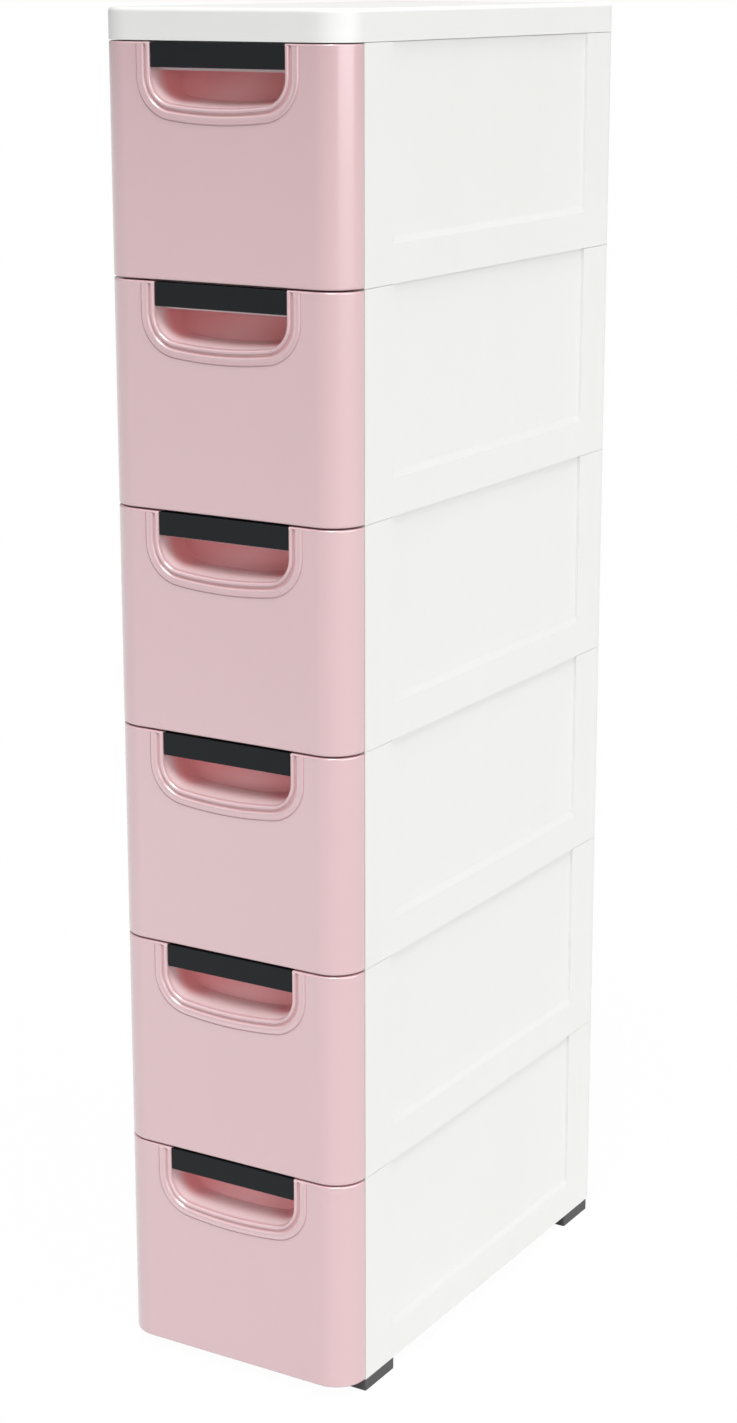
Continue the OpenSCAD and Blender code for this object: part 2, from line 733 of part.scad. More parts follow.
module drawer_front(n) {
    color(DRAWER_PINK) translate([0, 0, seam_z(n)]) {
        difference() {
            union() {
                // skin, swept around the face and both corners
                translate([0, 0, front_lo])
                    sweep_front(tub_y0) wall_section(front_h, front_wall, edge_r, edge_r);
                // bead, reaching a little into the mouth before it is cut, and outer band
                mouth_ring(-1, bead_w, bead_h);
                mouth_ring(bead_w + groove_w, rim_w, band_h);
                // top ledge and lower lip
                translate([0, 0, ceiling_z]) linear_extrude(front_wall)
                    cabinet_plan(edge_r, tub_y0);
                translate([0, 0, front_lo]) linear_extrude(front_wall) difference() {
                    cabinet_plan(edge_r, tub_y0);
                    cabinet_plan(front_wall + 4, tub_y0 + 1);
                }
                // shell of the pocket
                intersection() {
                    pocket_form(pocket_wall, ceiling_z + LAP);
                    block([-side_x, face_y + LAP, 0], [side_x, tub_y0, level_h]);
                }
            }
            pocket_form(0, ceiling_z);
            // notch in the top ledge for the grip strip
            block([-mouth_x, face_y - bead_h - 1, strip_lo - crossbar_drop],
                [mouth_x, crossbar_y, front_hi + 1]);
        }
        // crossbar behind the grip strip, with a bore for each of its pegs
        difference() {
            block([-mouth_x - LAP, crossbar_y, strip_lo - crossbar_drop],
                [mouth_x + LAP, crossbar_y + crossbar_t, front_hi]);
            at_strip_pegs() cylinder(h = crossbar_t + 2, d = strip_peg_d + 2 * fit_gap);
        }
        // spines that stand on the tub, with hooks through its front wall
        both_sides() {
            block([spine_x - spine_t / 2, face_y + front_wall - LAP, tub_lo + 4],
                [spine_x + spine_t / 2, tub_y0, tub_hi - 6]);
            for (z = hook_zs) {
                block([spine_x - spine_t / 2, tub_y0 - LAP, z - hook_h / 2],
                    [spine_x + spine_t / 2, hook_y + 2, z + hook_h / 2]);
                block([spine_x - spine_t / 2 - barb, hook_y, z - hook_h / 2],
                    [spine_x + spine_t / 2, hook_y + 2, z + hook_h / 2]);
            }
        }
    }
}

// ---------------------------------------------------------------- grip strip

// Axes of the strip's two pegs, pointing back from just before the crossbar
module at_strip_pegs() {
    both_sides() translate([strip_peg_x, crossbar_y - 1, (strip_lo + strip_hi) / 2])
        rotate([-90, 0, 0]) children();
}

module grip_strip(n) {
    z0 = strip_lo;
    z1 = strip_hi;
    color(GRIP_BLACK) translate([0, 0, seam_z(n)]) {
        difference() {
            translate([0, crossbar_y, 0]) rotate([90, 0, 0]) linear_extrude(strip_d)
                round_rect([-strip_x, z0], [strip_x, z1], 1);
            block([-strip_x + strip_wall, face_y + strip_wall, z0 + strip_wall],
                [strip_x - strip_wall, crossbar_y + 1, z1 - strip_wall]);
        }
        at_strip_pegs() translate([0, 0, -strip_d + strip_wall])
            cylinder(h = strip_d - strip_wall + crossbar_t + 2, d = strip_peg_d);
    }
}

// ---------------------------------------------------------------- assembly

top_cover();
for (n = LEVELS) {
    side_panel_left(n);
    side_panel_right(n);
    back_panel(n);
    drawer_tub(n);
    drawer_front(n);
    grip_strip(n);
}
for (n = [1:levels - 1])
    partition_frame(n);
base_frame();
foot(0);  // foot_front_left
foot(1);  // foot_front_right
foot(2);  // foot_rear_left
foot(3);  // foot_rear_right
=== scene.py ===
"""Six-drawer plastic storage tower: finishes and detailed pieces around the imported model."""

import math

import bmesh
import bpy
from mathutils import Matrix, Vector


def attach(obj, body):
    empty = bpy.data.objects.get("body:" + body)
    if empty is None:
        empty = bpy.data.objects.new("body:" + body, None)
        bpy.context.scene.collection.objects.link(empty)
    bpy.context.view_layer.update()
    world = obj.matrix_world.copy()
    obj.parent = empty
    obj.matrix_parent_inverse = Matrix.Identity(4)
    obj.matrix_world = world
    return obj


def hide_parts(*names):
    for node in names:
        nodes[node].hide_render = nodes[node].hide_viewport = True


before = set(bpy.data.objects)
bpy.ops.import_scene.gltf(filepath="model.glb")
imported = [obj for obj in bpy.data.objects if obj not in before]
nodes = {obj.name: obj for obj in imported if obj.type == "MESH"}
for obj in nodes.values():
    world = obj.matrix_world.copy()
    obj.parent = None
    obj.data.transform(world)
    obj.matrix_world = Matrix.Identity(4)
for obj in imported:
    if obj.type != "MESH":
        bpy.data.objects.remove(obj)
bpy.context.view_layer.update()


# ---------------------------------------------------------------- white shell
# The cover, the side and back panels and the level frames are injection moulded in white
# polypropylene and push together with tabs. The satin skin has faint flow marks and a very
# fine grain. The slopes round the side fields are painted a darker white as painted shade.

MM = 0.001
LEVELS = range(1, 7)  # counted from the top
WHITE = (0.893, 0.893, 0.874)
DEEP_WHITE = (0.876, 0.874, 0.853)
# painted shade: the slopes round the side fields are painted this darker white
SLOPE_PAINTED_SHADE = (0.775, 0.775, 0.76)
# The slopes run between these two distances from the middle of the tower, behind the front
# edge, before the rear edge and below the cover
SLOPE_INNER_X = 98.03 * MM
SLOPE_OUTER_X = 99.97 * MM
SLOPE_FRONT_Y = -137 * MM
SLOPE_BACK_Y = 156 * MM
SLOPE_TOP = 975 * MM
FLOW_GLOSS = 0.06  # the spread of the roughness along the flow marks
# the painted shade in a pocket is also rougher, by this much
HOLLOW_MATT = 0.2  # how much rougher the deep colour of a pocket is


class Wire:
    """One socket in a material's node tree. Sums on it read as Python."""

    def __init__(self, tree, socket=None):
        self.tree, self.socket = tree, socket

    def add(self, kind, settings=None, inputs=None, out=0):
        """Adds a node: its type, its settings, then the values or wires of its sockets."""
        node = self.tree.nodes.new(kind)
        for name, value in (settings or {}).items():
            if name == "stops":
                for stop, (position, colour) in zip(node.color_ramp.elements, value):
                    stop.position, stop.color = position, colour
            else:
                setattr(node, name, value)
        for name, value in (inputs or {}).items():
            if isinstance(value, Wire):
                self.tree.links.new(value.socket, node.inputs[name])
            else:
                node.inputs[name].default_value = value
        return Wire(self.tree, node.outputs[out] if node.outputs else None)

    def maths(self, operation, first, second):
        return self.add("ShaderNodeMath", {"operation": operation}, {0: first, 1: second})

    def towards(self, share, colour):
        """Mixes this colour with another. A Mix node's colours are its sockets 6, 7 and 2."""
        return self.add("ShaderNodeMix", {"data_type": "RGBA"},
                        {"Factor": share, 6: self, 7: (*colour, 1.0)}, out=2)

    def __add__(self, other):
        return self.maths("ADD", self, other)

    __radd__ = __add__

    def __sub__(self, other):
        return self.maths("SUBTRACT", self, other)

    def __rsub__(self, other):
        return self.maths("SUBTRACT", other, self)

    def __mul__(self, other):
        return self.maths("MULTIPLY", self, other)

    __rmul__ = __mul__


def moulded_plastic(name, colour, deep, roughness, coat, grain, grain_size, specular=0.5,
                    slope_shade=None, painted_light_colour=None, painted_shade_colour=None):
    """Moulded plastic: slow colour drift, upright flow marks, fine grain and a gloss skin.

    The last three colours are painted light and shade. The first is painted shade: a darker
    colour on the slope round each side field. The next two are for a handle's pocket: painted
    light, a paler colour with no gloss skin, where the piece's own painted-light attribute says
    so, and painted shade, a deeper and matt colour, where its painted-shade attribute does.
    """
    material = bpy.data.materials.new(name)
    material.use_nodes = True
    tree = material.node_tree
    tree.nodes.clear()
    wire = Wire(tree)
    place = wire.add("ShaderNodeTexCoord", out="Object")
    upright = wire.add("ShaderNodeMapping", None, {"Vector": place, "Scale": (3.0, 3.0, 0.6)})

    def noise(vector, scale, detail):
        return wire.add("ShaderNodeTexNoise", None,
                        {"Vector": vector, "Scale": scale, "Detail": detail})

    drift = noise(place, 5.0, 2.0)
    flow = noise(upright, 9.0, 3.0)
    fine = noise(place, 1 / grain_size, 2.0)
    slow = noise(place, 30.0, 1.0)
    tone = wire.add("ShaderNodeValToRGB",
                    {"stops": [(0.3, (*deep, 1.0)), (0.7, (*colour, 1.0))]},
                    {"Fac": drift * 0.6 + flow * 0.4})
    roughness = roughness - FLOW_GLOSS / 2 + flow * FLOW_GLOSS
    # painted shade: a darker white on the slopes round the side fields
    if slope_shade:
        x, y, z = (wire.add("ShaderNodeSeparateXYZ", None, {"Vector": place}, out=axis)
                   for axis in "XYZ")
        reach = wire.maths("ABSOLUTE", x, 0)
        on_slope = wire.maths("GREATER_THAN", reach, SLOPE_INNER_X)
        for value, limit in ((reach, SLOPE_OUTER_X), (y, SLOPE_BACK_Y),
                             (0 - y, -SLOPE_FRONT_Y), (z, SLOPE_TOP)):
            on_slope = on_slope * wire.maths("LESS_THAN", value, limit)
        tone = tone.towards(on_slope, slope_shade)
    # painted light and painted shade in a handle's pocket and in the rim's grooves
    if painted_shade_colour:
        painted_light = wire.add("ShaderNodeAttribute", {"attribute_name": "painted_light"}, out="Fac")
        painted_shade = wire.add("ShaderNodeAttribute", {"attribute_name": "painted_shade"}, out="Fac")
        tone = tone.towards(painted_light, painted_light_colour).towards(painted_shade, painted_shade_colour)
        coat = coat - painted_light * coat
        roughness = roughness + painted_shade * HOLLOW_MATT
    bump = wire.add("ShaderNodeBump", None,
                    {"Strength": grain, "Distance": 0.3 * MM, "Height": fine * 0.3 + slow * 0.7})
    shader = wire.add("ShaderNodeBsdfPrincipled", None,
                      {"Base Color": tone, "Roughness": roughness, "Normal": bump, "IOR": 1.49,
                       "Specular IOR Level": specular, "Coat Weight": coat,
                       "Coat Roughness": 0.2, "Coat IOR": 2.2 if painted_shade_colour else 1.5})
    wire.add("ShaderNodeOutputMaterial", None, {"Surface": shader})
    return material


shell_white = moulded_plastic("white_polypropylene", WHITE, DEEP_WHITE, roughness=0.42, coat=0.1,
                              grain=0.1, grain_size=1.1 * MM, slope_shade=SLOPE_PAINTED_SHADE)
SHELL = ["top_cover", "base_frame"]
SHELL += [f"partition_frame_{level}" for level in range(1, 6)]
SHELL += [f"{part}_{level}" for level in LEVELS
          for part in ("side_panel_left", "side_panel_right", "back_panel")]
for name in SHELL:
    for slot in nodes[name].material_slots:
        slot.material = shell_white


# ---------------------------------------------------------------- drawer fronts
# Each front is one pink moulding that wraps round both corners of the tower. Its handle is a
# scooped pocket under the top edge, framed by a round bead and a raised outer band. Two spines
# behind the face hook into the front wall of the tub.

SEAM_6 = 9 * MM  # the underside of the lowest level
LEVEL_H = 161.5 * MM
FACE_Y = -198.8 * MM
FACE_BACK_Y = FACE_Y + 25 * MM
FACE_X = 100 * MM
FACE_LOW = SEAM_6 + 0.6 * MM
FACE_HIGH = SEAM_6 + 160.9 * MM
FACE_WALL = 1.8 * MM
CORNER_R = 24 * MM
EDGE_R = 1.4 * MM
EDGE_LOW = FACE_HIGH - EDGE_R
LIP_W = 4.8 * MM
CROSSBAR_Y = FACE_Y + 8 * MM
CROSSBAR_LOW = FACE_HIGH - 19 * MM
MOUTH_X = 54.5 * MM
MOUTH_LOW = FACE_HIGH - 43.5 * MM
MOUTH_R = 19 * MM
# The rim's bottom edge is an arc that meets the round corners here, and lifts them by this much
BOW_R = 311.3 * MM
BOW_X = 39.3 * MM
BOW_RISE = 2.25 * MM
# The rim from its outer edge in to the mouth, as distance from the mouth and height: a sunk
# outline, painted darker as painted shade, the outer band with its raised lip, the groove and
# the bead
RIM_W = 11.3 * MM
RIM = [(11.05, -0.42), (10.8, -0.35), (10.6, 0.15), (10.3, 0.65), (9.9, 0.95), (9.4, 1.02),
       (8.8, 0.9), (8, 0.72), (7.2, 0.78), (6.6, 1.0), (6.2, 1.02), (5.8, 0.88), (5.4, 0.55),
       (5, 0.05), (4.6, -0.55), (4.2, -0.95), (3.85, -1.05), (3.5, -0.9), (3.2, -0.4),
       (2.9, 0.2), (2.5, 0.75), (2.1, 1.08), (1.7, 1.2), (1.3, 1.18), (0.95, 1.06),
       (0.6, 0.82), (0.3, 0.48), (0.1, 0.2), (0, 0.05)]
# painted shade in the rim's sunk parts, as a share for each millimetre below the face
GROOVE_SHADE = 0.25  # of the deep colour, for each millimetre of the grooves' depth
# The pocket from the mouth back: how far each strip runs inwards and how much deeper it ends.
# The walls scoop inwards to a thin ledge, and a small cove joins them to the back
POCKET_STEPS = 8
SCOOP_IN, SCOOP_DEPTH, SCOOP_CURVE = 2.6, 18.8, 1.6
COVE_IN, COVE_DEPTH = 1.3, 1.4
POCKET = [(0.12, 0.35), (0.08, 0.9)]
for step in range(POCKET_STEPS):
    a, b = step / POCKET_STEPS, (step + 1) / POCKET_STEPS
    POCKET.append((SCOOP_IN * (b ** SCOOP_CURVE - a ** SCOOP_CURVE), SCOOP_DEPTH / POCKET_STEPS))
POCKET.append((0.15, 0.05))
for step in range(POCKET_STEPS):
    a, b = (math.pi / 2 * s / POCKET_STEPS for s in (step, step + 1))
    POCKET.append((COVE_IN * (math.cos(a) - math.cos(b)),
                   COVE_DEPTH * (math.sin(b) - math.sin(a))))
POCKET_DEPTH = sum(depth for width, depth in POCKET)
# Its floor lies below the first height, in full below the second, and rises by this share of
# its depth. Its ends lie outside the first width, in full outside the second, and lean inwards
FLOOR_Z = MOUTH_LOW + 24 * MM, MOUTH_LOW + 4 * MM
FLOOR_RISE = 0.03
END_X = 20 * MM, 48 * MM
END_LEAN = 4.8 * MM
LEAN_FROM = 8
# Painted light makes it paler behind the bead, and painted shade makes it deeper between these
# depths in millimetres, sooner towards the ends. The middle takes this share of the painted
# shade, and the floor there less
BEAD_DEPTH, PAINTED_LIGHT_BY = 1, 3
SHADE_FROM, SHADE_BY, SHADE_SOONER = 6, 19.5, 4
MIDDLE_SHADE_SHARE = 0.7
FLOOR_SHADE_CUT = 0.5
BACK_FROM = 20.3  # where the cove to the back wall begins
TINY = 0.01 * MM  # the play in comparisons of places


def near(a, b):
    return abs(a - b) < 2 * TINY


def blend(value, none, full):
    """0 at one value and 1 at another, even in between and level beyond."""
    return min(1, max(0, (value - none) / (full - none)))


def alone(piece):
    """Selects one piece and nothing else, and makes it the active one."""
    bpy.ops.object.select_all(action="DESELECT")
    piece.select_set(True)
    bpy.context.view_layer.objects.active = piece


def edit(piece):
    """Opens one piece in edit mode with nothing selected."""
    alone(piece)
    bpy.ops.object.mode_set(mode="EDIT")
    bpy.ops.mesh.select_all(action="DESELECT")


def leave():
    bpy.ops.object.mode_set(mode="OBJECT")


def pick(kind, test):
    """Selects the vertices, edges or faces of the piece being edited that pass a test."""
    mesh = bmesh.from_edit_mesh(bpy.context.active_object.data)
    bpy.ops.mesh.select_mode(type={"verts": "VERT", "edges": "EDGE", "faces": "FACE"}[kind])
    bpy.ops.mesh.select_all(action="DESELECT")
    for part in getattr(mesh, kind):
        if test(part):
            part.select_set(True)
    mesh.select_flush_mode()
    bmesh.update_edit_mesh(bpy.context.active_object.data)


def all_at(part, axis, value):
    """True if every vertex of an edge or face lies at a value on one axis."""
    return all(near(vert.co[axis], value) for vert in part.verts)


def block(low, high):
    """Adds a box between two corners and leaves it as the active object."""
    bpy.ops.mesh.primitive_cube_add(size=1)
    piece = bpy.context.active_object
    piece.scale = [b - a for a, b in zip(low, high)]
    piece.location = [(a + b) / 2 for a, b in zip(low, high)]
    bpy.ops.object.transform_apply(location=True, rotation=True, scale=True)
    return piece


def modify(piece, kind, **settings):
    """Adds a modifier with its settings and applies it."""
    alone(piece)
    modifier = piece.modifiers.new(kind.lower(), kind)
    for name, value in settings.items():
        setattr(modifier, name, value)
    bpy.ops.object.modifier_apply(modifier=modifier.name)


def break_edges(piece, width, segments=2):
    """Rounds off the sharp edges of a piece and leaves its curved faces alone."""
    modify(piece, "BEVEL", width=width, segments=segments, limit_method="ANGLE",
           angle_limit=math.radians(50))


def join(pieces):
    alone(pieces[0])
    for piece in pieces:
        piece.select_set(True)
    bpy.ops.object.join()
    return pieces[0]


def soften(piece):
    """Smooth shading with flat faces kept flat."""
    alone(piece)
    bpy.ops.object.shade_smooth_by_angle(angle=math.radians(40))
    modify(piece, "WEIGHTED_NORMAL", keep_sharp=True, weight=90)


# The handle starts as a flat U-shaped plate, inset ring by ring from the rim to the back wall.
# It runs on above the front until all rings are in
plate_half = MOUTH_X + RIM_W
plate_low = MOUTH_LOW - RIM_W
plate_high = FACE_HIGH + 32 * MM
bpy.ops.object.select_all(action="DESELECT")
bpy.ops.mesh.primitive_plane_add(size=1, rotation=(math.pi / 2, 0, 0))
handle = bpy.context.active_object
handle.scale = (2 * plate_half, plate_high - plate_low, 1)
handle.location = (0, FACE_Y, (plate_high + plate_low) / 2)
bpy.ops.object.transform_apply(location=True, rotation=True, scale=True)
edit(handle)
pick("verts", lambda vert: near(vert.co.z, plate_low))
bpy.ops.mesh.bevel(offset=MOUTH_R + RIM_W, segments=22, affect="VERTICES")
pick("edges", lambda edge: all_at(edge, 2, plate_low))
bpy.ops.mesh.subdivide(number_cuts=15)
mesh = bmesh.from_edit_mesh(handle.data)
for vert in mesh.verts:
    if abs(vert.co.x) < BOW_X:
        vert.co.z = plate_low + BOW_R - math.sqrt(BOW_R ** 2 - vert.co.x ** 2)
    elif vert.co.z < FACE_HIGH:
        vert.co.z += BOW_RISE
for name in ("rise", "painted_shade", "painted_light"):
    mesh.verts.layers.float.new(name)
bmesh.update_edit_mesh(handle.data)
pick("faces", lambda face: True)
reached = RIM_W
for distance, height in RIM:
    bpy.ops.mesh.inset(thickness=reached - distance * MM, depth=0)
    reached = distance * MM
    mesh = bmesh.from_edit_mesh(handle.data)
    rise, painted_shade = (mesh.verts.layers.float[name] for name in ("rise", "painted_shade"))
    for vert in mesh.verts:
        if vert.select:
            vert[rise] = height * MM
            # painted shade in the rim's grooves and outline
            vert[painted_shade] = max(0, -GROOVE_SHADE * height)
for width, depth in POCKET:
    bpy.ops.mesh.inset(thickness=width * MM, depth=-depth * MM)
# the pocket's floor and ends, and its painted light and painted shade
mesh = bmesh.from_edit_mesh(handle.data)
painted_shade, painted_light = (mesh.verts.layers.float[name] for name in ("painted_shade", "painted_light"))
for vert in mesh.verts:
    depth = (vert.co.y - FACE_Y) / MM
    lowness = blend(vert.co.z, *FLOOR_Z)
    endness = blend(abs(vert.co.x), *END_X)
    if depth > BEAD_DEPTH:
        inside = blend(depth, SHADE_FROM, SHADE_BY - SHADE_SOONER * endness)
        share = MIDDLE_SHADE_SHARE + (1 - MIDDLE_SHADE_SHARE) * endness
        if depth < BACK_FROM:
            share -= FLOOR_SHADE_CUT * lowness * (1 - endness)
        # painted light behind the bead, painted shade deeper in
        vert[painted_light] = blend(depth, 0, PAINTED_LIGHT_BY)
        vert[painted_shade] = inside ** 2 * (3 - 2 * inside) * share
    lean = END_LEAN * endness * blend(depth, LEAN_FROM, POCKET_DEPTH) ** 2
    vert.co.z += FLOOR_RISE * depth * MM * lowness
    vert.co.x -= math.copysign(lean, vert.co.x)
bpy.ops.mesh.select_all(action="SELECT")
bpy.ops.mesh.bisect(plane_co=(0, 0, EDGE_LOW), plane_no=(0, 0, 1), clear_outer=True)
leave()

# The moulding round it: a block with rounded corners and edges, open at the back
front = block((-FACE_X, FACE_Y, FACE_LOW), (FACE_X, FACE_BACK_Y, FACE_HIGH))
edit(front)
pick("edges", lambda edge: all_at(edge, 1, FACE_Y)
     and near(edge.verts[0].co.x, edge.verts[1].co.x))
bpy.ops.mesh.bevel(offset=CORNER_R, segments=24, affect="EDGES")
pick("faces", lambda face: face.normal.y > 0.9)
bpy.ops.mesh.delete(type="FACE")
pick("edges", lambda edge: (all_at(edge, 2, FACE_LOW) or all_at(edge, 2, FACE_HIGH))
     and not all_at(edge, 1, FACE_BACK_Y))
bpy.ops.mesh.bevel(offset=EDGE_R, segments=5, affect="EDGES")
# lip along the bottom
pick("faces", lambda face: all_at(face, 2, FACE_LOW))
bpy.ops.mesh.inset(thickness=LIP_W, use_boundary=False)
bpy.ops.mesh.delete(type="FACE")
# notch for the grip strip, through the rounded edge and into the top ledge
for x in (-plate_half, -MOUTH_X, MOUTH_X, plate_half):
    pick("faces", lambda face: min(vert.co.z for vert in face.verts) > EDGE_LOW - TINY
         and min(vert.co.x for vert in face.verts) < x < max(vert.co.x for vert in face.verts))
    bpy.ops.mesh.bisect(plane_co=(x, 0, 0), plane_no=(1, 0, 0))
pick("faces", lambda face: all_at(face, 2, FACE_HIGH)
     and abs(face.calc_center_median().x) < 10 * TINY)
bpy.ops.mesh.bisect(plane_co=(0, CROSSBAR_Y, 0), plane_no=(0, 1, 0))
pick("faces", lambda face: all(
    vert.co.z > EDGE_LOW - TINY and abs(vert.co.x) < MOUTH_X + TINY
    and vert.co.y < CROSSBAR_Y + TINY for vert in face.verts))
bpy.ops.mesh.delete(type="FACE")
# the flat face goes, and with it the lowest strip of the rounded edge over the ends of the rim:
# both are filled again once the handle is joined on
pick("faces", lambda face: all_at(face, 1, FACE_Y)
     or (near(min(vert.co.z for vert in face.verts), EDGE_LOW)
         and all(MOUTH_X - TINY < abs(vert.co.x) < plate_half + TINY for vert in face.verts)))
bpy.ops.mesh.delete(type="ONLY_FACE")
pick("edges", lambda edge: edge.is_wire and all_at(edge, 2, EDGE_LOW))
bpy.ops.mesh.delete(type="EDGE")
# crossbar behind the grip strip
pick("edges", lambda edge: all_at(edge, 1, CROSSBAR_Y) and all_at(edge, 2, FACE_HIGH))
bpy.ops.mesh.extrude_region_move(
    TRANSFORM_OT_translate={"value": (0, 0, CROSSBAR_LOW - FACE_HIGH)})
leave()
front = join([front, handle])
edit(front)
bpy.ops.mesh.select_all(action="SELECT")
bpy.ops.mesh.remove_doubles(threshold=TINY)
for side in (-1, 1):
    pick("edges", lambda edge: len(edge.link_faces) < 2
         and all(MOUTH_X - TINY < side * vert.co.x < plate_half + TINY
                 and EDGE_LOW - TINY < vert.co.z < EDGE_LOW + 0.5 * MM
                 and vert.co.y < FACE_Y + 0.1 * MM for vert in edge.verts))
    bpy.ops.mesh.edge_face_add()
pick("edges", lambda edge: len(edge.link_faces) < 2 and all_at(edge, 1, FACE_Y))
bpy.ops.mesh.edge_face_add()
bpy.ops.mesh.select_all(action="SELECT")
bpy.ops.mesh.normals_make_consistent(inside=False)
leave()
modify(front, "SOLIDIFY", thickness=FACE_WALL, offset=-1, use_even_offset=True)
# the rim is raised last, on the outer skin alone
edit(front)
mesh = bmesh.from_edit_mesh(front.data)
rise = mesh.verts.layers.float["rise"]
for vert in mesh.verts:
    if near(vert.co.y, FACE_Y):
        vert.co.y -= vert[rise]
mesh.verts.layers.float.remove(rise)
bmesh.update_edit_mesh(front.data)
leave()

# Spines inside the face, each with two hooks that reach through the wall of the tub and turn
# inwards behind it
SPINE_X = 70.3 * MM
SPINE_HALF = 1 * MM
SPINE_FRONT_Y = FACE_Y + 1.5 * MM
SPINE_Z = SEAM_6 + 15.3 * MM, SEAM_6 + 146.5 * MM
HOOK_Z = SEAM_6 + 35.3 * MM, SEAM_6 + 122.5 * MM
HOOK_HALF = 5 * MM
HOOK_Y = FACE_BACK_Y - 0.5 * MM, FACE_BACK_Y + 4.2 * MM
BARB_FRONT_Y = FACE_BACK_Y + 2.2 * MM
BARB_W = 1.6 * MM
hooks = []
for side in (-1, 1):
    x = side * SPINE_X
    tip = x - side * BARB_W
    hooks.append(block((x - SPINE_HALF, SPINE_FRONT_Y, SPINE_Z[0]),
                       (x + SPINE_HALF, FACE_BACK_Y, SPINE_Z[1])))
    for height in HOOK_Z:
        low, high = height - HOOK_HALF, height + HOOK_HALF
        hooks.append(block((x - SPINE_HALF, HOOK_Y[0], low), (x + SPINE_HALF, HOOK_Y[1], high)))
        hooks.append(block((min(x, tip) - SPINE_HALF, BARB_FRONT_Y, low),
                           (max(x, tip) + SPINE_HALF, HOOK_Y[1], high)))
for hook in hooks:
    break_edges(hook, 0.3 * MM)
front = join([front, *hooks])
soften(front)

PINK = (0.700, 0.450, 0.474)
DEEP_PINK = (0.686, 0.437, 0.461)
# painted light behind the pocket's bead, and painted shade deeper in it and in the rim's grooves
PAINTED_LIGHT_PINK = (0.84, 0.65, 0.665)
PAINTED_SHADE_RED = (0.80, 0.28, 0.29)
front.data.materials.append(moulded_plastic(
    "pink_front", PINK, DEEP_PINK, roughness=0.34, coat=1.0, grain=0.1, grain_size=1.1 * MM,
    painted_light_colour=PAINTED_LIGHT_PINK, painted_shade_colour=PAINTED_SHADE_RED))


def per_level(lowest, name, node):
    """Fits the lowest drawer's piece to its body, and a copy of it to each level above."""
    for level in LEVELS:
        piece, above = lowest, len(LEVELS) - level
        if above:
            piece = bpy.data.objects.new(name, lowest.data.copy())
            bpy.context.scene.collection.objects.link(piece)
            for vert in piece.data.vertices:
                vert.co.z += above * LEVEL_H
        piece.name = piece.data.name = f"{name}_{level}"
        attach(piece, f"drawer_{level}")
        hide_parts(f"{node}_{level}")


per_level(front, "moulded_front", "drawer_front")


# ---------------------------------------------------------------- drawer tubs
# The tub behind each front is the same pink plastic: thin walls with rounded corners and a
# coved floor, a lip round the top, two runners under the floor and catches at the back that
# meet the stop lugs of the level frame.

TUB_X = 86 * MM
TUB_LOW = SEAM_6 + 11.3 * MM
TUB_HIGH = SEAM_6 + 152.5 * MM
TUB_BACK_Y = 189.4 * MM
TUB_DRAFT = 1.4 * MM
TUB_CORNER_R = 9 * MM
TUB_FLOOR_R = 6 * MM
TUB_WALL = 2 * MM
TUB_LIP = 1.4 * MM
TUB_LIP_H = 2.8 * MM
# Runners and catches: place, half their width, and where they begin and end
RUNNER = 80.6 * MM, 1 * MM, FACE_BACK_Y + 4 * MM, TUB_BACK_Y - 4 * MM
CATCH = 73.6 * MM, 4 * MM, 182.4 * MM, 186.4 * MM
RUNNER_LOW = TUB_LOW - 3 * MM
RUNNER_ROOT = TUB_LOW + 1 * MM

tub = block((-TUB_X, FACE_BACK_Y, TUB_LOW), (TUB_X, TUB_BACK_Y, TUB_HIGH))
edit(tub)
mesh = bmesh.from_edit_mesh(tub.data)
for vert in mesh.verts:
    if near(vert.co.z, TUB_LOW):
        vert.co.x -= math.copysign(TUB_DRAFT, vert.co.x)
        if vert.co.y > 0:
            vert.co.y -= TUB_DRAFT
bmesh.update_edit_mesh(tub.data)
pick("edges", lambda edge: not near(edge.verts[0].co.z, edge.verts[1].co.z))
bpy.ops.mesh.bevel(offset=TUB_CORNER_R, segments=10, affect="EDGES")
pick("edges", lambda edge: all_at(edge, 2, TUB_LOW))
bpy.ops.mesh.bevel(offset=TUB_FLOOR_R, segments=7, affect="EDGES")
pick("faces", lambda face: all_at(face, 2, TUB_HIGH))
bpy.ops.mesh.delete(type="FACE")
bpy.ops.mesh.select_all(action="SELECT")
bpy.ops.mesh.bisect(plane_co=(0, 0, TUB_HIGH - TUB_LIP_H), plane_no=(0, 0, 1))
leave()
modify(tub, "SOLIDIFY", thickness=TUB_WALL, offset=-1, use_even_offset=True)
# the lip grows outwards from the top strip of the side and back walls
edit(tub)
pick("faces", lambda face: min(vert.co.z for vert in face.verts) > TUB_HIGH - 1.05 * TUB_LIP_H
     and abs(face.normal.z) < 0.5
     and face.normal.dot(face.calc_center_median() - Vector((0, 0, TUB_HIGH))) > 0
     and face.calc_center_median().y > FACE_BACK_Y + TUB_CORNER_R)
bpy.ops.mesh.extrude_region_shrink_fatten(
    TRANSFORM_OT_shrink_fatten={"value": TUB_LIP, "use_even_offset": True})
leave()
break_edges(tub, 0.5 * MM)
rails = []
for side in (-1, 1):
    for x, half, front_y, back_y in (RUNNER, CATCH):
        rails.append(block((side * x - half, front_y, RUNNER_LOW),
                           (side * x + half, back_y, RUNNER_ROOT)))
for rail in rails:
    break_edges(rail, 0.4 * MM)
tub = join([tub, *rails])
soften(tub)
tub.data.materials.append(moulded_plastic("pink_tub", PINK, DEEP_PINK, roughness=0.36, coat=0.4,
                                          grain=0.1, grain_size=1.1 * MM))
per_level(tub, "moulded_tub", "drawer_tub")


# ---------------------------------------------------------------- grip strips
# A near-black trim strip closes the top of every pocket: a hollow moulding with two pegs that
# press into the crossbar behind it. Its face is flush with the drawer and its edges are broken.

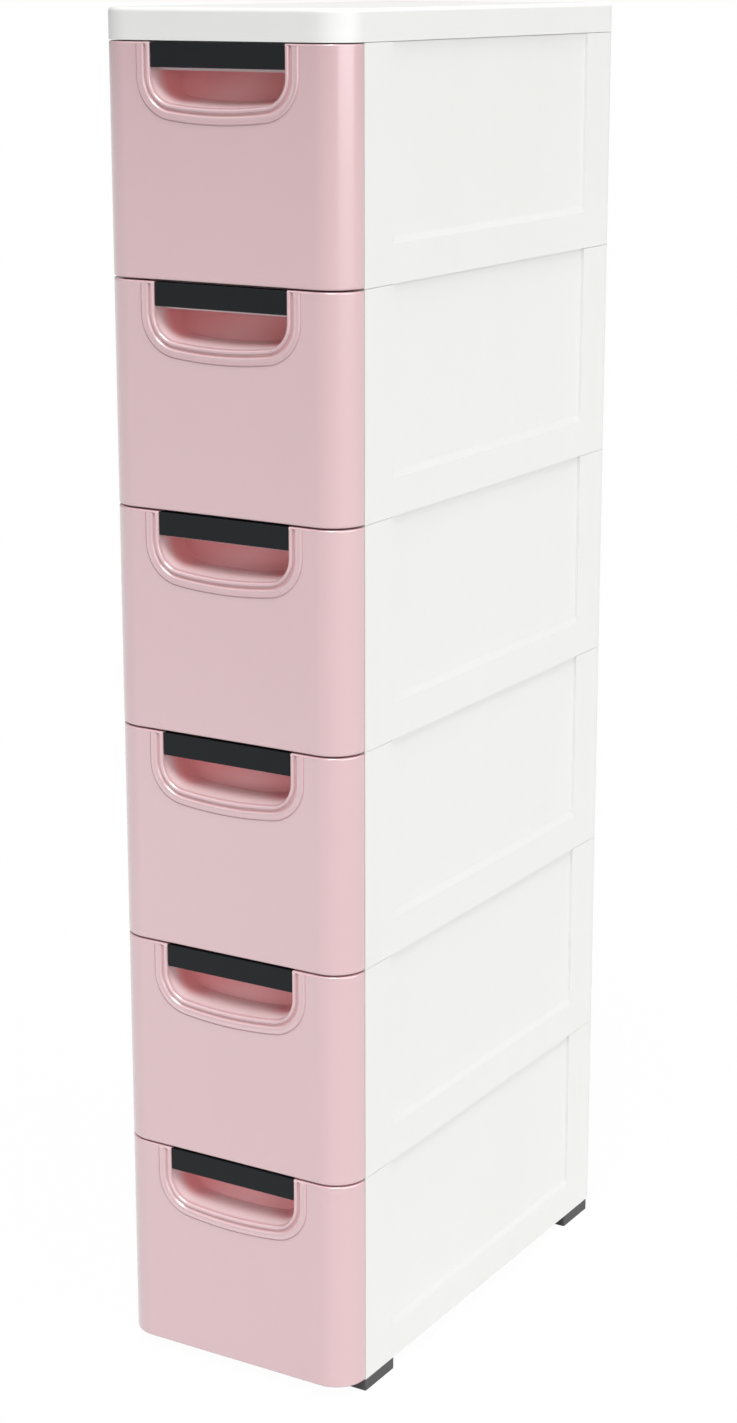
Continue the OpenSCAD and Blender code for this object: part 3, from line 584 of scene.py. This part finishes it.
STRIP_X = MOUTH_X - 0.4 * MM
STRIP_LOW = FACE_HIGH - 17 * MM
STRIP_HIGH = FACE_HIGH - 0.4 * MM
STRIP_WALL = 1.6 * MM
PEG_X = 34 * MM
PEG_R = 2.5 * MM
PEG_L = 8.4 * MM
PEG_MIDDLE_Y = CROSSBAR_Y - 1.2 * MM

strip = block((-STRIP_X, FACE_Y, STRIP_LOW), (STRIP_X, CROSSBAR_Y, STRIP_HIGH))
edit(strip)
pick("faces", lambda face: face.normal.y > 0.9)
bpy.ops.mesh.inset(thickness=STRIP_WALL, depth=0)
bpy.ops.mesh.inset(thickness=0, depth=-(CROSSBAR_Y - FACE_Y - STRIP_WALL))
leave()
break_edges(strip, 0.7 * MM, segments=4)
pegs = []
for side in (-1, 1):
    bpy.ops.mesh.primitive_cylinder_add(
        vertices=32, radius=PEG_R, depth=PEG_L, rotation=(math.pi / 2, 0, 0),
        location=(side * PEG_X, PEG_MIDDLE_Y, (STRIP_LOW + STRIP_HIGH) / 2))
    bpy.ops.object.transform_apply(location=True, rotation=True, scale=True)
    pegs.append(bpy.context.active_object)
    break_edges(pegs[-1], 0.4 * MM)
strip = join([strip, *pegs])
soften(strip)
strip.data.materials.append(moulded_plastic(
    "black_trim", (0.010, 0.012, 0.014), (0.008, 0.010, 0.012), roughness=0.45, coat=0.0,
    grain=0.16, grain_size=0.8 * MM, specular=0.2))
per_level(strip, "trim_strip", "grip_strip")


# ---------------------------------------------------------------- cover drop
# At the back a strip of the cover's skirt drops between the side panels and closes the slot over
# the uppermost back panel. It is moulded white with a hollow underside and broken edges.

SEAM_0 = SEAM_6 + len(LEVELS) * LEVEL_H
DROP_X = 81.7 * MM
DROP_Y = 193 * MM, 200 * MM
DROP_Z = SEAM_0 - 6 * MM, SEAM_0 + 0.5 * MM
DROP_WALL = 1.8 * MM
DROP_DRAFT = 0.3 * MM
DROP_HOLLOW = 3 * MM

drop = block((-DROP_X, DROP_Y[0], DROP_Z[0]), (DROP_X, DROP_Y[1], DROP_Z[1]))
edit(drop)
pick("faces", lambda face: face.normal.z < -0.9)
bpy.ops.mesh.inset(thickness=DROP_WALL, depth=0)
bpy.ops.mesh.inset(thickness=DROP_DRAFT, depth=-DROP_HOLLOW)
leave()
break_edges(drop, 0.35 * MM, segments=3)
soften(drop)
drop.name = drop.data.name = "cover_rear_drop"
drop.data.materials.append(shell_white)
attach(drop, "cabinet")


# ---------------------------------------------------------------- feet
# Four dark grey feet, moulded as short blocks, press into the base frame with two pegs each.
# Their outer sides are flush with the cabinet and their faces are slightly matt.

foot_grey = moulded_plastic("dark_grey_foot", (0.100, 0.098, 0.101), (0.090, 0.088, 0.091),
                            roughness=0.55, coat=0.0, grain=0.2, grain_size=0.8 * MM,
                            specular=0.2)
for name in ("foot_front_left", "foot_front_right", "foot_rear_left", "foot_rear_right"):
    for slot in nodes[name].material_slots:
        slot.material = foot_grey


# ---------------------------------------------------------------- floor and light
# A white studio floor that keeps a soft shadow, in a white surround that reflects brightest
# from overhead. A key light stands in front and above, a wider one to the right, and a low cool
# fill in front lights the lower drawers.

FLOOR_GREY = (0.42, 0.42, 0.42, 1)
FLOOR_GLOW = 1.02
FLOOR_GLOW_SHARE = 0.96  # the rest is the grey floor with its shadow
HORIZON_GLOW = 0.25
OVERHEAD_GLOW = 0.42
OVERHEAD_GLOSS = 1.1

bpy.ops.object.select_all(action="DESELECT")
bpy.ops.mesh.primitive_plane_add(size=60)
floor = bpy.context.active_object
floor.name = "floor"
paper = bpy.data.materials.new("white_floor")
paper.use_nodes = True
paper.node_tree.nodes.clear()
wire = Wire(paper.node_tree)
matt = wire.add("ShaderNodeBsdfDiffuse", None, {"Color": FLOOR_GREY})
glow = wire.add("ShaderNodeEmission", None, {"Color": (1, 1, 1, 1), "Strength": FLOOR_GLOW})
seen = wire.add("ShaderNodeLightPath", out="Is Camera Ray")
gloss = wire.add("ShaderNodeLightPath", out="Is Glossy Ray")
mixed = wire.add("ShaderNodeMixShader", None,
                 {0: wire.maths("MAXIMUM", seen, gloss) * FLOOR_GLOW_SHARE, 1: matt, 2: glow})
wire.add("ShaderNodeOutputMaterial", None, {"Surface": mixed})
floor.data.materials.append(paper)

world = bpy.data.worlds.new("studio")
bpy.context.scene.world = world
world.use_nodes = True
world.node_tree.nodes.clear()
wire = Wire(world.node_tree)
seen = wire.add("ShaderNodeLightPath", out="Is Camera Ray")
gloss = wire.add("ShaderNodeLightPath", out="Is Glossy Ray")
place = wire.add("ShaderNodeTexCoord", out="Generated")
up = wire.add("ShaderNodeSeparateXYZ", None, {"Vector": place}, out="Z")
up = wire.maths("MAXIMUM", up, 0)
strength = HORIZON_GLOW + up * OVERHEAD_GLOW + up * up * gloss * OVERHEAD_GLOSS
soft = wire.add("ShaderNodeBackground", None, {"Color": (1, 1, 1, 1), "Strength": strength})
white = wire.add("ShaderNodeBackground", None, {"Color": (1, 1, 1, 1), "Strength": 1.0})
mixed = wire.add("ShaderNodeMixShader", None, {0: seen, 1: soft, 2: white})
wire.add("ShaderNodeOutputWorld", None, {"Surface": mixed})


def lamp(name, kind, energy, rotation, location=(0, 0, 0)):
    """Adds a lamp, with its rotation in degrees, and returns the object."""
    light = bpy.data.objects.new(name, bpy.data.lights.new(name, kind))
    light.data.energy = energy
    light.rotation_euler = [math.radians(angle) for angle in rotation]
    light.location = location
    bpy.context.scene.collection.objects.link(light)
    return light


# Two distant suns, so that the top and the foot of the tower are lit alike
lamp("key", "SUN", 1.7, rotation=(28, 0, 22)).data.angle = math.radians(26)
lamp("side", "SUN", 1.83, rotation=(76, 0, 80)).data.angle = math.radians(60)

fill = lamp("low fill", "AREA", 1.9, rotation=(90, 0, -22), location=(-0.4, -1.0, 0.12))
fill.data.shape, fill.data.size, fill.data.size_y = "RECTANGLE", 0.8, 0.3
fill.data.color = (0.80, 0.97, 1.0)
fill.visible_camera = fill.visible_glossy = False

bpy.context.scene.view_settings.view_transform = "Standard"


# ---------------------------------------------------------------- camera
# The photograph's viewpoint, a little above the tower and to the right of its fronts. Place,
# lens and shift were fitted to the seams, corners and feet in the photograph.

AZIMUTH = math.radians(30.90)
ELEVATION = math.radians(14.37)
PHOTO_H = 1423  # pixels

camera = bpy.data.objects.new("camera", bpy.data.cameras.new("camera"))
camera.data.sensor_width = 36
camera.data.lens = 69.72
camera.data.shift_x = -6.6 / PHOTO_H
camera.data.shift_y = -36.8 / PHOTO_H
camera.location = (1.058, -1.760, 1.025)
back = Vector((math.sin(AZIMUTH) * math.cos(ELEVATION),
               -math.cos(AZIMUTH) * math.cos(ELEVATION), math.sin(ELEVATION)))
camera.rotation_mode = "QUATERNION"
camera.rotation_quaternion = (-back).to_track_quat("-Z", "Y")
bpy.context.scene.collection.objects.link(camera)
bpy.context.scene.camera = camera
